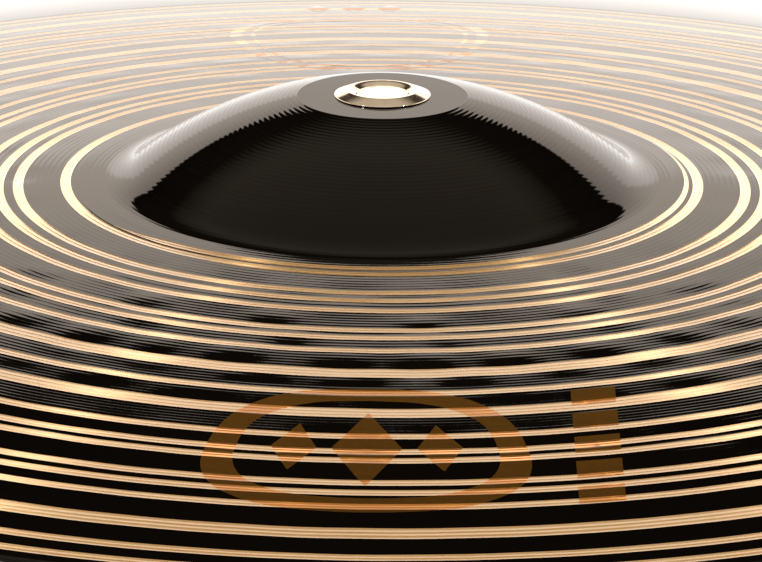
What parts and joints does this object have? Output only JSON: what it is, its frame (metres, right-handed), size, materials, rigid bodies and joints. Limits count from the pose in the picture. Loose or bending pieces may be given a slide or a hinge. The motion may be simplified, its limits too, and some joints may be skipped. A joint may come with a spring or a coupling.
{
  "type": "crash cymbal",
  "caption": "Round bronze crash cymbal with a domed bell, a lathed bow and a metal eyelet in its centre hole.",
  "frame": {"origin": "centre of the rim, on the plane that the rim's lower edge touches", "axes": "+Z along the axis of rotation, from the open underside towards the top of the bell; -Y towards the printed emblem"},
  "size_m": [0.4064, 0.4064, 0.0336],
  "materials": {
    "dark_bronze": "bronze with a dark glossy finish over fine lathe rings",
    "lathed_bronze": "bright bands turned through the dark finish to the bare bronze",
    "plated_eyelet": "polished warm nickel plating",
    "plated_washer": "nickel-plated washer",
    "emblem_ink": "thin translucent gold-brown print"
  },
  "bodies": {
    "root": {"cymbal_plate": "dark_bronze", "hole_eyelet": "plated_eyelet", "eyelet_washer": "plated_washer"}
  },
  "joints": []
}
